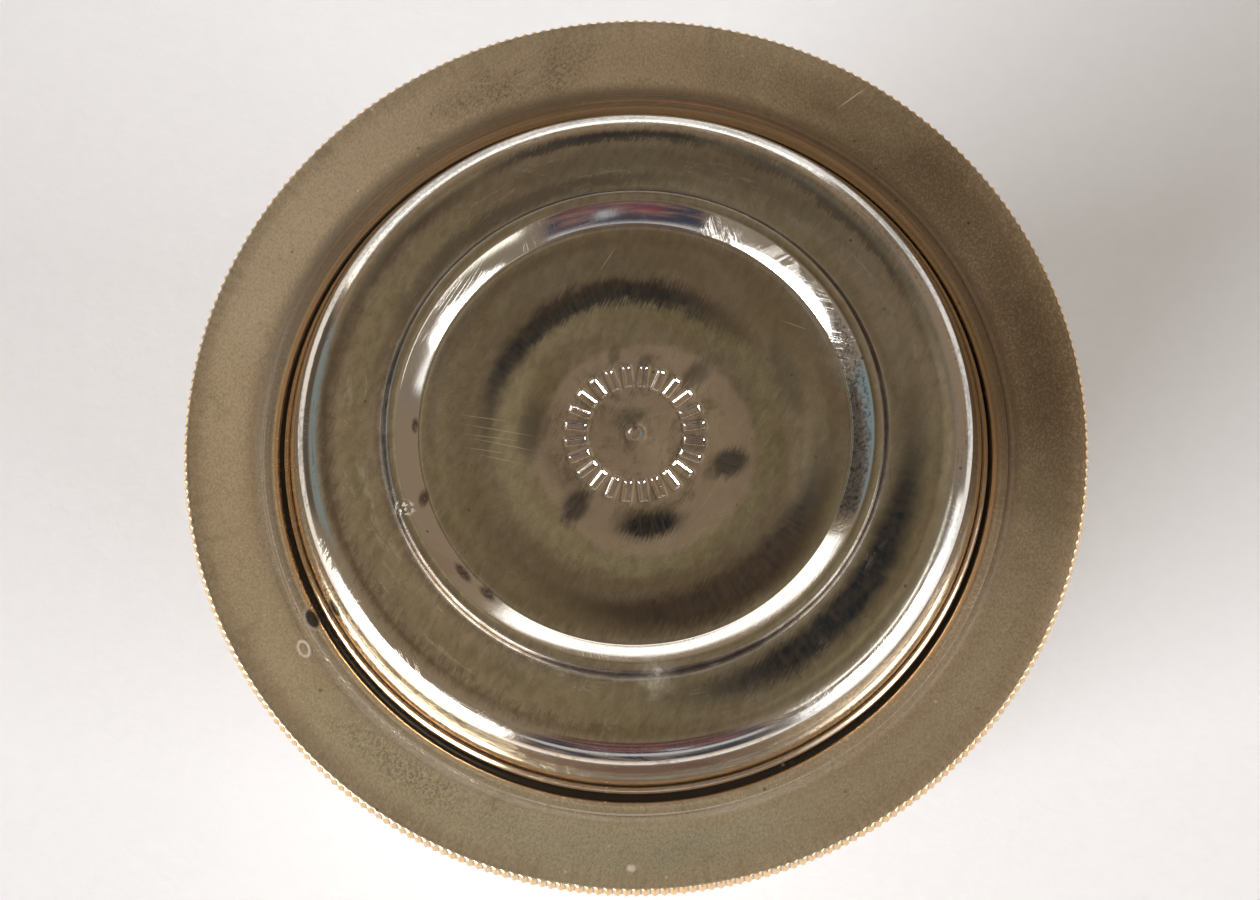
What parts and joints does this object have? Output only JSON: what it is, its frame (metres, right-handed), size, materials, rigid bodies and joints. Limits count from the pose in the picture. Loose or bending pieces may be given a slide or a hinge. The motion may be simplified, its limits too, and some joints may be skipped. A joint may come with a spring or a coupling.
{
  "type": "bar jigger",
  "caption": "Round silver-plated bar jigger standing mouth down: flared measuring cup, coin-edged flange, and a weighted base cap with a rounded shoulder and raised foot ring.",
  "frame": {"origin": "centre of the cup's mouth plane, which is the lowest plane of the part as it stands mouth down", "axes": "+Z along the axis from the cup's mouth to the foot ring; +X and +Y are equivalent, because every visible piece is turned about Z"},
  "size_m": [0.06, 0.06, 0.045],
  "materials": {
    "cup_plate": "silver plate on brass, polished, lightly tarnished",
    "wire_plate": "silver plate on brass, polished, lightly tarnished",
    "collar_plate": "silver plate on brass, turned, lightly tarnished",
    "flange_plate": "silver plate on brass, satin, tarnished olive brown, worn to brass on the knurl crests",
    "cap_plate": "silver plate on brass, polished, tarnished olive brown with bright edges",
    "stud_brass": "turned brass",
    "washer_steel": "oiled spring steel",
    "gasket_fibre": "red vulcanised fibre",
    "ballast_iron": "machined grey iron"
  },
  "bodies": {
    "root": {"cup_body": "cup_plate", "lip_wire": "wire_plate", "cup_collar": "collar_plate", "knurled_flange": "flange_plate", "base_cap": "cap_plate", "threaded_stud": "stud_brass", "spring_washer": "washer_steel", "fibre_gasket": "gasket_fibre", "ballast_disc": "ballast_iron"}
  },
  "joints": []
}
